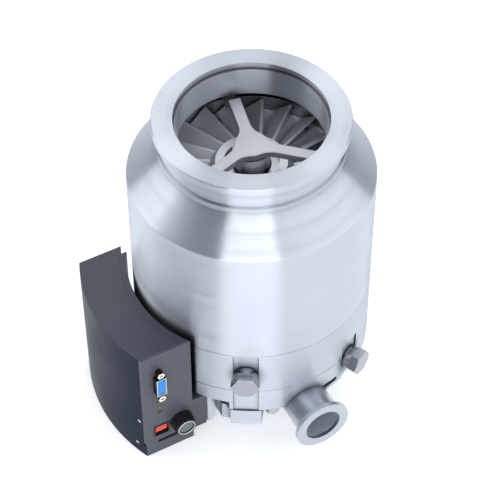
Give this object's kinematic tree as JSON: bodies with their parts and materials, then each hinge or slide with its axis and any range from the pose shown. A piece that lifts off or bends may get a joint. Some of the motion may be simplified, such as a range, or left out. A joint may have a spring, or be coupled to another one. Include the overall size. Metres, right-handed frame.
{
  "type": "turbomolecular pump",
  "caption": "Turbomolecular pump with a clamped intake flange, bladed rotor on a spider-held magnet bearing, small-flange outlet and attached electronic drive.",
  "frame": {"origin": "centre of the intake flange face", "axes": "+Z out of the intake along the rotor axis, -Y towards the purge plug at the front, +X to the right"},
  "size_m": [0.2023, 0.1851, 0.241],
  "materials": {
    "satin_aluminium": "satin",
    "cast_aluminium": "fine machined",
    "rotor_alloy": "milled",
    "plated_steel": "bright plated",
    "bearing_steel": "ground",
    "screw_steel": "turned",
    "magnet": "nickel plated",
    "lamination": "stacked sheet",
    "copper": "enamelled wire",
    "carbon_fibre": "wound fibre",
    "fluoroelastomer": "matte",
    "felt": "felt",
    "cage_plastic": "phenolic",
    "drive_paint": "fine satin",
    "panel_paint": "satin",
    "board": "solder mask",
    "connector_shell": "tin plated",
    "socket_plastic": "moulded",
    "black_plastic": "moulded",
    "lamp": "translucent"
  },
  "bodies": {
    "stator": {"intake_housing": "satin_aluminium", "bearing_spider": "satin_aluminium", "magnet_carrier": "plated_steel", "stator_magnets": "magnet", "touchdown_outer_ring": "bearing_steel", "main_bearing_outer_ring": "bearing_steel", "spacer_ring_1": "rotor_alloy", "spacer_ring_2": "rotor_alloy", "spacer_ring_3": "rotor_alloy", "spacer_ring_4": "rotor_alloy", "spacer_ring_5": "rotor_alloy", "stator_disc_1": "rotor_alloy", "stator_disc_2": "rotor_alloy", "stator_disc_3": "rotor_alloy", "stator_disc_4": "rotor_alloy", "base_housing": "cast_aluminium", "casing_seal": "fluoroelastomer", "casing_screws": "screw_steel", "holweck_stator": "rotor_alloy", "motor_housing": "cast_aluminium", "motor_core": "lamination", "motor_windings": "copper", "bearing_sleeve": "bearing_steel", "damping_rings": "fluoroelastomer", "lubricant_reservoir": "felt", "bottom_cover": "satin_aluminium", "cover_seal": "fluoroelastomer", "cover_screws": "screw_steel", "purge_plug": "plated_steel", "purge_gasket": "fluoroelastomer", "vent_plug": "plated_steel", "vent_gasket": "fluoroelastomer", "forevacuum_port": "satin_aluminium", "port_seal": "fluoroelastomer", "drive_bracket": "satin_aluminium", "bracket_screws": "screw_steel", "motor_feedthrough": "black_plastic", "drive_housing": "drive_paint", "drive_cover": "drive_paint", "connector_panel": "panel_paint", "circuit_board": "board", "data_connector": "connector_shell", "jack_screws": "screw_steel", "usb_socket": "socket_plastic", "power_connector": "black_plastic", "status_lamps": "lamp"},
    "rotor": {"turbo_rotor": "rotor_alloy", "holweck_sleeve": "carbon_fibre", "rotor_shaft": "bearing_steel", "oil_nut": "bearing_steel", "rotor_magnets": "magnet", "motor_magnet": "magnet", "magnet_sleeve": "bearing_steel", "main_bearing_inner_ring": "bearing_steel"},
    "main_bearing_cage_body": {"main_bearing_balls": "bearing_steel", "main_bearing_cage": "cage_plastic"},
    "touchdown_ring_body": {"touchdown_inner_ring": "bearing_steel"},
    "touchdown_cage_body": {"touchdown_balls": "bearing_steel", "touchdown_cage": "cage_plastic"}
  },
  "joints": [
    {"name": "rotor_spin", "type": "hinge", "parent": "stator", "child": "rotor", "pos_m": [0, 0, -0.1], "axis": [0, 0, 1], "continuous": true},
    {"name": "main_cage_spin", "type": "hinge", "parent": "stator", "child": "main_bearing_cage_body", "pos_m": [0, 0, -0.183], "axis": [0, 0, 1], "continuous": true},
    {"name": "touchdown_ring_spin", "type": "hinge", "parent": "stator", "child": "touchdown_ring_body", "pos_m": [0, 0, -0.058], "axis": [0, 0, 1], "continuous": true},
    {"name": "touchdown_cage_spin", "type": "hinge", "parent": "stator", "child": "touchdown_cage_body", "pos_m": [0, 0, -0.058], "axis": [0, 0, 1], "continuous": true}
  ],
  "couplings": [
    {"joint": "main_cage_spin", "follows": "rotor_spin", "ratio": 0.367},
    {"joint": "touchdown_cage_spin", "follows": "touchdown_ring_spin", "ratio": 0.367}
  ]
}
